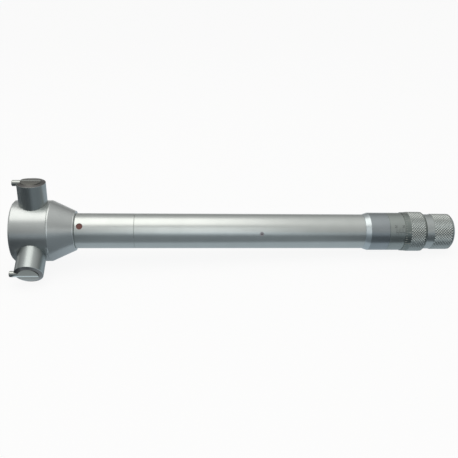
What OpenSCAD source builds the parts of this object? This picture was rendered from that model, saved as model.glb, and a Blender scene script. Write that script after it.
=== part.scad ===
// Three-point inside micrometer with an extension tube, lying on two of its anvils.
// The axis runs along X, with the measuring head at the left and the ratchet at the right.
// Stations along the axis are counted from the head's front face.

/* [Measuring range] */
// Smallest bore diameter that the anvils reach
range_min = 62; // [61:0.5:64]
// Largest bore diameter that the anvils reach
range_max = 75; // [73:0.5:76]
// Bore diameter that the anvils are set to
reading = 68.5; // [67.5:0.25:69.5]

/* [Measuring head] */
// Diameter of the head
head_d = 39; // [38:0.5:44]
// Length of the head
head_len = 22.7; // [21.5:0.1:26]
// Chamfer on the head's front edge
head_chamfer = 1; // [0.4:0.1:1]
// Wall of the head behind the anvils
head_rear_wall = 1.1; // [0.8:0.1:2]
// Thickness of the front cover
cover_t = 2; // [1.8:0.1:2.4]
// Diameter of the shank of the head screws
head_screw_d = 2.5; // [2:0.5:3]
// Length of the head screws
head_screw_len = 27; // [25:0.5:29]

/* [Anvils] */
// Diameter of each anvil
anvil_d = 17.6; // [15:0.1:17.8]
// Width of the chamfer round an anvil's end
anvil_chamfer = 2.4; // [1:0.1:3]
// Depth of that chamfer along the anvil
anvil_chamfer_depth = 0.8; // [0.6:0.1:2]
// Radius of the crown across an anvil's end
crown_r = 26; // [20:0.5:29]
// Diameter of the hard measuring pins
pin_d = 3.8; // [3:0.1:4.2]
// How far a measuring pin stands proud of the crown
pin_proud = 0.1; // [0.1:0.1:1]
// How far a measuring pin ends behind the head's front face
pin_setback = 1.3; // [0.3:0.1:2]
// How far a measuring pin reaches behind the axis of its anvil
pin_reach = 6.2; // [4:0.1:6.2]
// Diameter of the keys that stop the anvils from turning
key_d = 2.3; // [1.6:0.1:2.6]
// Distance of those keys from the axis
key_circle_r = 10.5; // [10.2:0.1:11.5]

/* [Expander] */
// Radius of the expander cone in the plane of the anvils at mid range
cone_mid_r = 5; // [4.6:0.1:5.4]
// Length of cone kept behind the anvils' axes at full reach
cone_contact = 5.2; // [4.5:0.1:6]
// Diameter of the push rod and the extension rod
rod_d = 7; // [6:0.1:7.4]
// Section diameter of the ring spring that draws the anvils in
ring_spring_d = 1.8; // [1.2:0.1:2]
// Free diameter of the rod return spring's wire
rod_spring_wire_d = 1.2; // [0.8:0.1:1.4]
// Number of turns in the rod return spring
rod_spring_turns = 5; // [3:1:6]

/* [Tubes] */
// Length of the cylindrical rim of the taper collar
collar_rim_len = 0.8; // [0.6:0.1:4]
// Length of the taper on the collar
collar_taper_len = 14.8; // [14:0.1:20]
// Rounding between the collar's rim and its taper
collar_shoulder_r = 1.8; // [0.5:0.1:4]
// Diameter of the small end of the taper
collar_end_d = 26; // [25:0.1:28]
// Outer diameter of the neck tube and the extension tube
tube_d = 22.6; // [21.6:0.1:23.2]
// Wall of the neck tube and the extension tube
tube_wall = 1.7; // [1.2:0.1:2.2]
// Length of the neck tube
neck_len = 37.3; // [36:0.1:60]
// Length of the extension tube
extension_len = 150; // [100:1:250]
// Length of the coupling sleeve inside the two tubes
coupling_len = 28; // [24:0.5:34]
// Length of the bush half way along the extension
centre_bush_len = 14; // [8:0.5:20]
// Diameter of the set screws in the extension tube
set_screw_d = 2.8; // [2.5:0.1:4]
// Diameter of the lacquered screw in the neck
neck_screw_d = 4; // [3:0.1:4.6]
// Depth of the lacquer below the neck's surface
lacquer_depth = 0.4; // [0.2:0.1:0.6]

/* [Micrometer body] */
// Outer diameter of the sleeve
sleeve_d = 24.9; // [24.4:0.1:25.1]
// Length of the flare from the tube up to the sleeve
flare_len = 3.5; // [1.5:0.1:5]
// Length of the plain sleeve behind the flare
plain_sleeve_len = 12.4; // [10:0.1:20]
// Blank length of the scale sleeve in front of the largest reading
scale_margin = 3.7; // [1:0.1:8]
// Wall of the scale sleeve
scale_wall = 1.2; // [0.8:0.1:1.6]
// Diameter of the spindle's thread
spindle_d = 8; // [7.4:0.1:9]

/* [Thimble] */
// Diameter over the thimble's knurl
thimble_d = 26.4; // [26.2:0.1:27.5]
// Length of the graduated bevel
bevel_len = 3.8; // [2.5:0.1:6]
// Diameter of the bevel's thin front edge
bevel_edge_d = 25.5; // [25.4:0.1:25.8]
// Length of the thimble's knurl
thimble_knurl_len = 9.9; // [9.8:0.1:14]
// Length of the thimble's rear chamfer
thimble_rear_len = 0.8; // [0.8:0.1:1.5]
// Thickness of the thimble's rear wall
thimble_rear_wall = 0.9; // [0.6:0.1:1]

/* [Ratchet] */
// Diameter of the plain front of the ratchet barrel
ratchet_plain_d = 23.1; // [22:0.1:23.4]
// Length of that plain front
ratchet_plain_len = 5.1; // [4:0.1:8]
// Diameter over the ratchet's knurl
ratchet_d = 23.9; // [23.6:0.1:25]
// Length of the ratchet's knurl
ratchet_knurl_len = 12.6; // [12:0.1:20]
// Length of the chamfer at the ratchet's end
ratchet_chamfer = 1.3; // [0.4:0.1:1.5]
// Number of teeth on the ratchet wheel
ratchet_teeth = 12; // [8:1:16]

/* [Knurling] */
// Spacing of the diamonds round and along a knurl
knurl_pitch = 1.75; // [1.2:0.05:2]
// Depth of the knurling
knurl_depth = 0.35; // [0.15:0.05:0.4]

/* [Fits] */
// Radial clearance of pieces that slide or turn in each other
running_fit = 0.05; // [0.02:0.01:0.08]
// Radial clearance of pieces that are screwed or pressed together
seat_fit = 0.02; // [0.01:0.01:0.04]
// Clearance between pieces that must never meet
free_gap = 0.35; // [0.3:0.05:0.5]
// Chamfer at the joint lines between turned pieces
seam_chamfer = 0.2; // [0.1:0.05:0.3]

/* [Hidden] */
$fn = 96;

// Angles about the axis, counted from +Y towards +Z
anvil_angles = [90, 210, 330];
head_screw_angles = [30, 150, 270];
neck_screw_angle = 141;
coupling_screw_angle = 246;
bush_screw_angle = 165;

// The cone drives the anvils at one half of its own travel
cone_slope = 0.5;
mid_reading = (range_min + range_max) / 2;
half_travel = (range_max - range_min) / 2;
anvil_half_travel = half_travel * cone_slope;
feed = reading - mid_reading;
lift = feed * cone_slope;
tip_r = reading / 2;

// Stations of the head
head_r = head_d / 2;
anvil_r = anvil_d / 2;
anvil_s = head_len - head_rear_wall - anvil_r;
cover_r = head_r - head_chamfer - 0.1;
cone_tip_mid = cover_t + free_gap + half_travel;
cone_rear_mid = anvil_s + cone_contact + half_travel;
cone_tip_r = cone_mid_r + (cone_tip_mid - anvil_s) * cone_slope;
cone_rear_r = cone_mid_r + (cone_rear_mid - anvil_s) * cone_slope;
cone_land = 1;
cone_boss_len = 5;
cone_boss_r = rod_d / 2 + 1.5;
head_bore_r = cone_rear_r + free_gap;
front_hole_r = key_circle_r - key_d / 2 - 1.2;
ring_spring_mid_r = head_bore_r + ring_spring_d / 2 + 0.5;
ring_spring_r = ring_spring_mid_r + lift;
ring_pocket_r = ring_spring_mid_r + ring_spring_d / 2 + anvil_half_travel;
ring_pocket_s = head_len - ring_spring_d - 2 * free_gap - 0.5;
head_screw_r = head_screw_d / 2;
head_screw_head_r = head_screw_r * 1.85;
head_screw_circle_r = cover_r - head_screw_head_r - 0.1;
head_screw_sink = 0.3;
key_engagement = 1.6;
key_len = anvil_s - anvil_r - cover_t + key_engagement;
pin_len = anvil_s + pin_reach - pin_setback;
ramp_gap = 0.05;

// Stations of the collar and the tubes
collar_taper_s = head_len + collar_rim_len;
neck_s = collar_taper_s + collar_taper_len;
extension_s = neck_s + neck_len;
body_s = extension_s + extension_len;
collar_end_r = collar_end_d / 2;
collar_edge_round = 0.8;
taper_angle = atan2(head_r - collar_end_r, collar_taper_len - collar_edge_round);
shoulder_r = min(collar_shoulder_r, (collar_rim_len - 2 * seam_chamfer) / tan(taper_angle / 2));
shoulder_s = collar_taper_s - shoulder_r * tan(taper_angle / 2);
tube_r = tube_d / 2;
tube_bore_r = tube_r - tube_wall;
spigot_r = tube_bore_r - seat_fit;
rod_r = rod_d / 2;
rod_guide_r = rod_r + running_fit;
collar_spigot_len = 9.7;
bush_r = rod_r + 2.5;
collar_bore_end_s = cone_rear_mid + half_travel + cone_land + 1;
front_bush_s = collar_bore_end_s + cone_boss_len;
collar_spigot_end_s = neck_s + collar_spigot_len;
neck_screw_inset = 3.4;
neck_screw_s = neck_s + neck_screw_inset;
spring_collar_len = 2.5;
spring_collar_mid_s = collar_spigot_end_s + 2 * half_travel;
spring_collar_end_s = spring_collar_mid_s + spring_collar_len + half_travel;
coupling_s = max(spring_collar_end_s + 0.5, extension_s - coupling_len / 2);
coupling_end_s = extension_s + coupling_len * 0.78;
coupling_screw_inset = 6.1;
coupling_screw_s = coupling_end_s - coupling_screw_inset;
bush_offset = 6.6;
bush_screw_s = extension_s + extension_len / 2 + bush_offset;
set_screw_r = set_screw_d / 2;
set_screw_recess = 0.3;
set_screw_len = 4;
ball_r = 2;
rod_joint_s = extension_s + 0.4;

// Stations of the micrometer body, thimble and ratchet
sleeve_r = sleeve_d / 2;
sleeve_s = body_s + flare_len;
scale_s = sleeve_s + plain_sleeve_len;
barrel_r = sleeve_r - scale_wall;
body_spigot_len = 12.6;
thimble_mid_s = scale_s + scale_margin + half_travel;
thimble_s = thimble_mid_s - feed;
knurl_mid_s = thimble_mid_s + bevel_len;
thimble_chamfer_mid_s = knurl_mid_s + thimble_knurl_len;
thimble_rear_mid_s = thimble_chamfer_mid_s + thimble_rear_len;
thimble_wall_mid_s = thimble_rear_mid_s - thimble_rear_wall;
thimble_bore_r = sleeve_r + running_fit;
sleeve_end_s = thimble_wall_mid_s - half_travel - free_gap;
spindle_r = spindle_d / 2;
spindle_front_mid_s = body_s + 3.4;
spindle_thread_mid_s = scale_s + 1.5;
spindle_bore_r = spindle_r + 1;
spindle_bore_s = spindle_front_mid_s - half_travel - 1;
nut_len = 11;
nut_wall = 3.5;
nut_r = spindle_r + nut_wall;
shank_r = 3;
hub_r = 6;
hub_len = 4.3;
wheel_mid_s = thimble_rear_mid_s + hub_len;
wheel_len = 3;
wheel_r = 7.5;
tooth_depth = 0.8;
tooth_width = 1.7;
driver_gap = 0.3;
driver_mid_s = wheel_mid_s + wheel_len + driver_gap;
driver_len = 3;
lug_len = 1;
lug_w = 3;
ratchet_mid_s = thimble_rear_mid_s + 0.4;
ratchet_knurl_mid_s = ratchet_mid_s + ratchet_plain_len;
ratchet_chamfer_mid_s = ratchet_knurl_mid_s + ratchet_knurl_len;
ratchet_end_mid_s = ratchet_chamfer_mid_s + ratchet_chamfer;
ratchet_front_wall = 2.9;
ratchet_end_wall = 2.3;
ratchet_cavity_r = 9;
ratchet_cavity_mid_s = ratchet_mid_s + ratchet_front_wall;
ratchet_wall_mid_s = ratchet_end_mid_s - ratchet_end_wall;
ratchet_screw_r = 1.5;
ratchet_screw_head_r = 3.2;
ratchet_screw_head_len = 1.3;
ratchet_screw_reach = 5;
ratchet_screw_hole_len = 6;
ratchet_spring_wire_d = 1;
ratchet_spring_turns = 4;

// The part stands with its lowest anvil rim on the ground and the middle of its length at the origin
crown_drop = crown_r - sqrt(pow(crown_r, 2) - pow(anvil_r - anvil_chamfer, 2));
rim_r = tip_r - pin_proud - crown_drop - anvil_chamfer_depth;
axis_height = rim_r / 2 + anvil_r * cos(30);
total_len = ratchet_end_mid_s - feed;

// Springs are swept from a wire with this many sides and steps a turn
wire_sides = 6;
turn_steps = 18;
cut = 0.5;

// Puts the instrument's axis at its height over the ground
module placed() {
    translate([-total_len / 2, 0, axis_height]) children();
}

// Turns a profile of [radius, station] points about the axis
module turned(profile) {
    rotate([0, 90, 0]) rotate_extrude() polygon(profile);
}

// Round bar or bore along the axis between two stations
module bar(s0, s1, r) {
    translate([s0, 0, 0]) rotate([0, 90, 0]) cylinder(h = s1 - s0, r = r);
}

// Brings what is built along +Z to a station, pointing outwards at an angle
module at(s, angle) {
    translate([s, 0, 0]) rotate([angle - 90, 0, 0]) children();
}

// Knurl of pyramids between two families of crossing grooves
module knurl(s0, s1, crest_r) {
    cols = 2 * round(2 * PI * crest_r / knurl_pitch);
    rows = 2 * round((s1 - s0) / knurl_pitch);
    groove_r = crest_r - knurl_depth;
    points = [for (j = [0:rows], i = [0:cols - 1])
        let (edge = j == 0 || j == rows, groove = (i + j) % 2 == 0)
        let (r = edge || groove ? groove_r : crest_r, a = 360 * i / cols)
        [s0 + (s1 - s0) * j / rows, r * cos(a), r * sin(a)]];
    flanks = [for (j = [0:rows - 1], i = [0:cols - 1])
        let (n = (i + 1) % cols)
        let (a = j * cols + i, b = j * cols + n, c = (j + 1) * cols + n, d = (j + 1) * cols + i)
        each (i + j) % 2 == 0 ? [[a, d, c], [a, c, b]] : [[a, d, b], [d, c, b]]];
    front = [for (i = [0:cols - 1]) i];
    rear = [for (i = [cols - 1:-1:0]) rows * cols + i];
    polyhedron(points, concat(flanks, [front, rear]));
}

// Coil spring of round wire that lies between two stations
module coil(s0, s1, mean_r, wire_d, turns) {
    steps = turns * turn_steps;
    wire_r = wire_d / 2;
    pitch_len = s1 - s0 - wire_d;
    points = [for (k = [0:steps], m = [0:wire_sides - 1])
        let (a = 360 * k / turn_steps, b = 360 * m / wire_sides)
        let (r = mean_r + wire_r * cos(b))
        [s0 + wire_r + pitch_len * k / steps + wire_r * sin(b), r * cos(a), r * sin(a)]];
    sides = [for (k = [0:steps - 1], m = [0:wire_sides - 1])
        let (n = (m + 1) % wire_sides)
        let (a = k * wire_sides + m, b = k * wire_sides + n)
        each [[a, b, b + wire_sides], [a, b + wire_sides, a + wire_sides]]];
    start = [for (m = [wire_sides - 1:-1:0]) m];
    end = [for (m = [0:wire_sides - 1]) steps * wire_sides + m];
    polyhedron(points, concat(sides, [start, end]));
}

// Headless screw with a hexagon socket, its top at the given distance from the axis
module set_screw(top, r, len) {
    difference() {
        translate([0, 0, top - len]) cylinder(h = len, r = r - seat_fit);
        translate([0, 0, top - len / 2]) cylinder(h = len, r = r * 0.55, $fn = 6);
    }
}

// Radial hole for such a screw
module screw_hole(depth_r, r) {
    translate([0, 0, depth_r]) cylinder(h = tube_r - depth_r + cut, r = r);
}

module head_body() {
    color("#9ea3a6") placed() difference() {
        turned([[0, 0], [head_r - head_chamfer, 0], [head_r, head_chamfer],
            [head_r, head_len - seam_chamfer], [head_r - seam_chamfer, head_len], [0, head_len]]);
        bar(-cut, cover_t, cover_r + seat_fit);
        bar(0, head_len + cut, front_hole_r);
        bar(anvil_s - anvil_r + 0.7, head_len + cut, head_bore_r);
        bar(ring_pocket_s, head_len + cut, ring_pocket_r);
        for (a = anvil_angles) {
            at(anvil_s, a) cylinder(h = head_d, r = anvil_r + running_fit);
            at(cover_t, a) translate([0, 0, key_circle_r]) rotate([0, 90, 0])
                cylinder(h = head_len / 2, r = key_d / 2 + seat_fit);
        }
        for (a = head_screw_angles)
            at(0, a) translate([0, 0, head_screw_circle_r]) rotate([0, 90, 0])
                cylinder(h = head_len + cut, r = head_screw_r + seat_fit);
    }
}

module front_cover() {
    color("#a9adb0") placed() difference() {
        turned([[0, 0], [cover_r - seam_chamfer, 0], [cover_r, seam_chamfer],
            [cover_r, cover_t], [0, cover_t]]);
        for (a = head_screw_angles)
            at(0, a) translate([0, 0, head_screw_circle_r]) rotate([0, 90, 0]) {
                translate([0, 0, -cut]) cylinder(h = cover_t + 2 * cut, r = head_screw_r + seat_fit);
                screw_head(seat_fit, cut);
            }
    }
}

// Countersunk head along +Z, opened out by a fit and continued upwards by a lead
module screw_head(fit, lead) {
    cone_len = head_screw_head_r - head_screw_r;
    translate([0, 0, -lead]) cylinder(h = lead + head_screw_sink, r = head_screw_head_r + fit);
    translate([0, 0, head_screw_sink])
        cylinder(h = cone_len, r1 = head_screw_head_r + fit, r2 = head_screw_r + fit);
}

module head_screws() {
    color("#4c4f52") placed()
        for (a = head_screw_angles)
            at(0, a) translate([0, 0, head_screw_circle_r]) rotate([0, 90, 0]) difference() {
                union() {
                    intersection() {
                        screw_head(0, 0);
                        translate([0, 0, 0.1]) cylinder(h = cover_t, r = head_d);
                    }
                    translate([0, 0, 0.1]) cylinder(h = head_screw_len, r = head_screw_r);
                }
                translate([0, 0, -cut]) cylinder(h = cut + 1.2, r = head_screw_r * 0.7, $fn = 6);
            }
}

module anvil_keys() {
    color("#7c8084") placed()
        for (a = anvil_angles)
            at(cover_t, a) translate([0, 0, key_circle_r]) rotate([0, 90, 0])
                cylinder(h = key_len, r = key_d / 2);
}

module ring_spring() {
    ring_s = ring_pocket_s + ring_spring_d / 2 + free_gap / 2;
    color("#6f7376") placed() rotate([0, 90, 0]) rotate_extrude()
        translate([ring_spring_r, ring_s]) circle(d = ring_spring_d);
}

// One anvil: a round plunger whose inner end is a ramp for the cone
module anvil(index) {
    crest_r = tip_r - pin_proud;
    big = 4 * head_d;
    color("#8d9296") placed() at(anvil_s, anvil_angles[index]) difference() {
        intersection() {
            union() {
                cylinder(h = rim_r, r = anvil_r);
                translate([0, 0, rim_r])
                    cylinder(h = anvil_chamfer_depth, r1 = anvil_r, r2 = anvil_r - anvil_chamfer);
                translate([0, 0, rim_r]) cylinder(h = crest_r, r = anvil_r - anvil_chamfer);
            }
            translate([-head_d / 2, 0, crest_r - crown_r]) rotate([0, 90, 0])
                cylinder(h = head_d, r = crown_r);
        }
        translate([0, 0, cone_mid_r + lift + ramp_gap]) rotate([0, -atan(cone_slope), 0])
            translate([-big / 2, -big / 2, -big]) cube(big);
        for (side = [0, 1])
            mirror([0, side, 0]) translate([0, 0, anvil_half_travel + lift + free_gap]) rotate([-60, 0, 0])
                translate([-big / 2, 0, -big / 2]) cube(big);
        anvil_keyway();
        anvil_spring_groove();
        anvil_pin_bar(seat_fit);
    }
}

// Slot in the front flank of an anvil that runs on the key
module anvil_keyway() {
    key_w = key_d + 2 * running_fit;
    slot_end = key_circle_r + anvil_half_travel + lift + free_gap;
    slot_depth = key_len - (anvil_s - anvil_r - cover_t) + free_gap;
    translate([-anvil_r - cut, 0, 0]) {
        translate([0, -key_w / 2, 0]) cube([slot_depth + cut, key_w, slot_end]);
        translate([0, 0, slot_end]) rotate([0, 90, 0]) cylinder(h = slot_depth + cut, r = key_w / 2);
    }
}

// Groove in the rear flank of an anvil that the ring spring lies in
module anvil_spring_groove() {
    inner = ring_spring_r - ring_spring_d / 2 - running_fit;
    outer = ring_spring_r + ring_spring_d / 2 + free_gap;
    translate([-anvil_s, 0, 0])
        turned([[inner, ring_pocket_s], [outer, ring_pocket_s], [outer, head_len], [inner, head_len]]);
}

// Hard pin across the end of an anvil, as a bar in the anvil's own frame
module anvil_pin_bar(fit) {
    bevel = fit > 0 ? 0 : 0.3;
    translate([pin_setback - anvil_s, 0, tip_r - pin_d / 2]) rotate([0, 90, 0]) rotate_extrude()
        polygon([[0, 0], [pin_d / 2 + fit - bevel, 0], [pin_d / 2 + fit, bevel],
            [pin_d / 2 + fit, pin_len - bevel], [pin_d / 2 + fit - bevel, pin_len], [0, pin_len]]);
}

module anvil_pin(index) {
    color("#c3c6c4") placed() at(anvil_s, anvil_angles[index]) anvil_pin_bar(0);
}

module taper_collar() {
    edge = collar_edge_round;
    shoulder = [for (k = [0:4]) let (a = taper_angle * k / 4)
        [head_r - shoulder_r + shoulder_r * cos(a), shoulder_s + shoulder_r * sin(a)]];
    end_edge = [for (k = [0:6]) let (a = 15 * k)
        [collar_end_r - edge + edge * cos(a), neck_s - edge + edge * sin(a)]];
    color("#999ea2") placed() difference() {
        turned(concat([[0, head_len], [head_r - seam_chamfer, head_len], [head_r, head_len + seam_chamfer]],
            shoulder, end_edge,
            [[spigot_r, neck_s], [spigot_r, collar_spigot_end_s], [0, collar_spigot_end_s]]));
        bar(head_len - cut, collar_bore_end_s, head_bore_r);
        bar(head_len, collar_spigot_end_s + cut, bush_r + seat_fit);
        for (a = head_screw_angles)
            at(head_len - cut, a) translate([0, 0, head_screw_circle_r]) rotate([0, 90, 0])
                cylinder(h = head_screw_len - head_len + 2 * cut, r = head_screw_r + seat_fit);
        at(neck_screw_s, neck_screw_angle) screw_hole(bush_r, neck_screw_d / 2);
    }
}

module neck_tube() {
    color("#a3a8ab") placed() difference() {
        tube(neck_s, extension_s);
        at(neck_screw_s, neck_screw_angle) screw_hole(0, neck_screw_d / 2);
    }
}

// Tube with a fine chamfer at both ends, which shows as a joint line
module tube(s0, s1) {
    difference() {
        turned([[0, s0], [tube_r - seam_chamfer, s0], [tube_r, s0 + seam_chamfer],
            [tube_r, s1 - seam_chamfer], [tube_r - seam_chamfer, s1], [0, s1]]);
        bar(s0 - cut, s1 + cut, tube_bore_r);
    }
}

module neck_lock_screw() {
    top = tube_r - lacquer_depth - 0.8;
    color("#55595c") placed() at(neck_screw_s, neck_screw_angle)
        set_screw(top, neck_screw_d / 2, top - bush_r - 0.3);
}

module lacquer_seal() {
    color("#7a2a22") placed() at(neck_screw_s, neck_screw_angle)
        translate([0, 0, tube_r - lacquer_depth - 0.8]) cylinder(h = 0.8, r = neck_screw_d / 2 - seat_fit);
}

module front_bush() {
    color("#b08d4f") placed() difference() {
        bar(front_bush_s, collar_spigot_end_s, bush_r);
        bar(front_bush_s - cut, collar_spigot_end_s + cut, rod_guide_r);
    }
}

module rod_spring() {
    mean_r = (bush_r + spigot_r) / 2;
    color("#6f7376") placed() coil(collar_spigot_end_s + 0.05, spring_collar_mid_s - feed - 0.05,
        mean_r, rod_spring_wire_d, rod_spring_turns);
}

module coupling_sleeve() {
    color("#8a8f93") placed() difference() {
        bar(coupling_s, coupling_end_s, spigot_r);
        bar(coupling_s - cut, coupling_end_s + cut, rod_r + 2 * free_gap);
        at(coupling_screw_s, coupling_screw_angle) screw_hole(0, set_screw_r);
    }
}

module coupling_lock_screw() {
    color("#3c4043") placed() at(coupling_screw_s, coupling_screw_angle)
        set_screw(tube_r - set_screw_recess, set_screw_r, set_screw_len);
}

module extension_tube() {
    color("#a3a8ab") placed() difference() {
        tube(extension_s, body_s);
        at(coupling_screw_s, coupling_screw_angle) screw_hole(0, set_screw_r);
        at(bush_screw_s, bush_screw_angle) screw_hole(0, set_screw_r);
    }
}

module centre_bush() {
    color("#b08d4f") placed() difference() {
        bar(bush_screw_s - centre_bush_len / 2, bush_screw_s + centre_bush_len / 2, spigot_r);
        bar(bush_screw_s - centre_bush_len, bush_screw_s + centre_bush_len, rod_guide_r);
        at(bush_screw_s, bush_screw_angle)
            screw_hole(tube_r - set_screw_recess - set_screw_len, set_screw_r);
    }
}

module bush_set_screw() {
    color("#3c4043") placed() at(bush_screw_s, bush_screw_angle)
        set_screw(tube_r - set_screw_recess, set_screw_r, set_screw_len - 0.1);
}

module micrometer_body() {
    color("#a9aeb1") placed() difference() {
        turned([[0, body_s - body_spigot_len], [spigot_r, body_s - body_spigot_len], [spigot_r, body_s],
            [tube_r - seam_chamfer, body_s], [tube_r, body_s + seam_chamfer], [sleeve_r, sleeve_s],
            [sleeve_r, scale_s - seam_chamfer], [sleeve_r - seam_chamfer, scale_s], [barrel_r, scale_s],
            [barrel_r, sleeve_end_s], [0, sleeve_end_s]]);
        bar(body_s - body_spigot_len - cut, spindle_bore_s, rod_guide_r);
        bar(spindle_bore_s - cut, sleeve_end_s + cut, spindle_bore_r);
        bar(sleeve_end_s - nut_len, sleeve_end_s + cut, nut_r + seat_fit);
    }
}

module scale_sleeve() {
    color("#b3b7b9") placed() difference() {
        turned([[0, scale_s], [sleeve_r - seam_chamfer, scale_s], [sleeve_r, scale_s + seam_chamfer],
            [sleeve_r, sleeve_end_s], [0, sleeve_end_s]]);
        bar(scale_s - cut, sleeve_end_s + cut, barrel_r + seat_fit);
    }
}

module spindle_nut() {
    color("#b08d4f") placed() difference() {
        bar(sleeve_end_s - nut_len, sleeve_end_s, nut_r);
        bar(sleeve_end_s - nut_len - cut, sleeve_end_s + cut, spindle_r + running_fit);
    }
}

module expander_cone() {
    tip = cone_tip_mid - feed;
    rear = cone_rear_mid - feed;
    color("#7f8488") placed() difference() {
        turned([[0, tip], [cone_tip_r, tip], [cone_rear_r, rear],
            [cone_rear_r, rear + cone_land], [cone_boss_r, rear + cone_land],
            [cone_boss_r, rear + cone_boss_len], [0, rear + cone_boss_len]]);
        bar(rear - 1, rear + cone_boss_len + cut, rod_r + seat_fit);
    }
}

module push_rod() {
    color("#9a9fa2") placed()
        bar(cone_rear_mid - feed - 1, rod_joint_s - ball_r - feed, rod_r);
}

module spring_collar() {
    s = spring_collar_mid_s - feed;
    color("#7f8488") placed() difference() {
        bar(s, s + spring_collar_len, spigot_r - free_gap);
        bar(s - cut, s + spring_collar_len + cut, rod_r + seat_fit);
    }
}

module front_ball() {
    color("#c9cccd") placed() translate([rod_joint_s - feed, 0, 0]) sphere(r = ball_r - seat_fit);
}

module extension_rod() {
    s0 = rod_joint_s - ball_r / 2 - feed;
    s1 = spindle_front_mid_s - ball_r - ball_r / 2 - feed;
    color("#9a9fa2") placed() difference() {
        bar(s0, s1, rod_r);
        bar(s0 - cut, s0 + ball_r * 1.5, ball_r + seat_fit);
        bar(s1 - ball_r * 0.5, s1 + cut, ball_r + seat_fit);
    }
}

module rear_ball() {
    color("#c9cccd") placed() translate([spindle_front_mid_s - ball_r - feed, 0, 0])
        sphere(r = ball_r - seat_fit);
}

module thimble() {
    front = thimble_mid_s - feed;
    knurl_s = knurl_mid_s - feed;
    chamfer_s = thimble_chamfer_mid_s - feed;
    rear = thimble_rear_mid_s - feed;
    groove_r = thimble_d / 2 - knurl_depth;
    land_r = thimble_d / 2 - knurl_depth / 2;
    color("#a0a5a8") placed() difference() {
        union() {
            turned([[0, front], [bevel_edge_d / 2, front], [land_r, knurl_s], [groove_r - 0.1, knurl_s],
                [groove_r - 0.1, chamfer_s], [land_r, chamfer_s], [land_r - thimble_rear_len, rear],
                [hub_r, rear], [hub_r, rear + hub_len], [0, rear + hub_len]]);
            knurl(knurl_s, chamfer_s, thimble_d / 2);
        }
        bar(front - cut, rear - thimble_rear_wall, thimble_bore_r);
        bar(front, rear + hub_len + cut, shank_r + seat_fit);
    }
}

module spindle() {
    front = spindle_front_mid_s + seat_fit - feed;
    thread = spindle_thread_mid_s - feed;
    wall = thimble_wall_mid_s - feed;
    wheel_end = wheel_mid_s + wheel_len - feed;
    color("#8d9296") placed() difference() {
        turned([[0, front], [spindle_r - 0.5, front], [spindle_r - 0.5, thread], [spindle_r, thread + 0.5],
            [spindle_r, wall], [shank_r, wall], [shank_r, wheel_end], [0, wheel_end]]);
        bar(wheel_end - ratchet_screw_hole_len, wheel_end + cut, ratchet_screw_r + seat_fit);
    }
}

// Saw teeth cut into the face at a station; turned round for the opposite face
module face_teeth(s, flip) {
    for (i = [0:ratchet_teeth - 1])
        rotate([360 * i / ratchet_teeth, 0, 0]) translate([s, 0, shank_r + 0.8]) mirror([flip, 0, 0])
            linear_extrude(height = ratchet_cavity_r)
                polygon([[cut, 0], [-tooth_depth, 0], [0, tooth_width], [cut, tooth_width]]);
}

module ratchet_wheel() {
    s = wheel_mid_s - feed;
    color("#7f8488") placed() difference() {
        bar(s, s + wheel_len, wheel_r);
        bar(s - cut, s + wheel_len + cut, shank_r + seat_fit);
        face_teeth(s + wheel_len, 0);
    }
}

module ratchet_driver() {
    s = driver_mid_s - feed;
    color("#7f8488") placed() difference() {
        union() {
            bar(s, s + driver_len, ratchet_cavity_r - running_fit);
            driver_lugs(s, s + driver_len, 0);
        }
        bar(s - cut, s + driver_len + cut, ratchet_screw_r + free_gap);
        face_teeth(s, 1);
    }
}

// Two lugs that key the driver to the barrel
module driver_lugs(s0, s1, fit) {
    reach = ratchet_cavity_r + lug_len;
    translate([s0, -reach, -lug_w / 2 - fit]) cube([s1 - s0, 2 * reach, lug_w + 2 * fit]);
}

module ratchet_barrel() {
    front = ratchet_mid_s - feed;
    knurl_s = ratchet_knurl_mid_s - feed;
    chamfer_s = ratchet_chamfer_mid_s - feed;
    end = ratchet_end_mid_s - feed;
    cavity = ratchet_cavity_mid_s - feed;
    wall = ratchet_wall_mid_s - feed;
    plain_r = ratchet_plain_d / 2;
    groove_r = ratchet_d / 2 - knurl_depth;
    land_r = ratchet_d / 2 - knurl_depth / 2;
    color("#a0a5a8") placed() difference() {
        union() {
            turned([[0, front], [plain_r - seam_chamfer, front], [plain_r, front + seam_chamfer],
                [plain_r, knurl_s], [groove_r - 0.1, knurl_s], [groove_r - 0.1, chamfer_s],
                [land_r, chamfer_s], [land_r - ratchet_chamfer, end], [0, end]]);
            knurl(knurl_s, chamfer_s, ratchet_d / 2);
        }
        bar(front - cut, cavity + cut, hub_r + running_fit);
        bar(cavity, wall, ratchet_cavity_r);
        driver_lugs(cavity, wall, running_fit);
        bar(wall - cut, end + cut, ratchet_screw_r + running_fit);
        bar(end - ratchet_screw_head_len, end + cut, ratchet_screw_head_r + running_fit);
    }
}

module ratchet_spring() {
    color("#6f7376") placed()
        coil(driver_mid_s + driver_len + 0.05 - feed, ratchet_wall_mid_s - 0.05 - feed,
            ratchet_cavity_r - 2, ratchet_spring_wire_d, ratchet_spring_turns);
}

module ratchet_screw() {
    end = ratchet_end_mid_s - feed;
    slot_w = 0.8;
    slot_depth = 0.6;
    head_s = end - ratchet_screw_head_len + running_fit;
    color("#8d9296") placed() difference() {
        union() {
            bar(wheel_mid_s + wheel_len - ratchet_screw_reach - feed, end, ratchet_screw_r);
            bar(head_s, end, ratchet_screw_head_r);
        }
        translate([end - slot_depth, -head_r, -slot_w / 2]) cube([head_d, head_d, slot_w]);
    }
}

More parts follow.
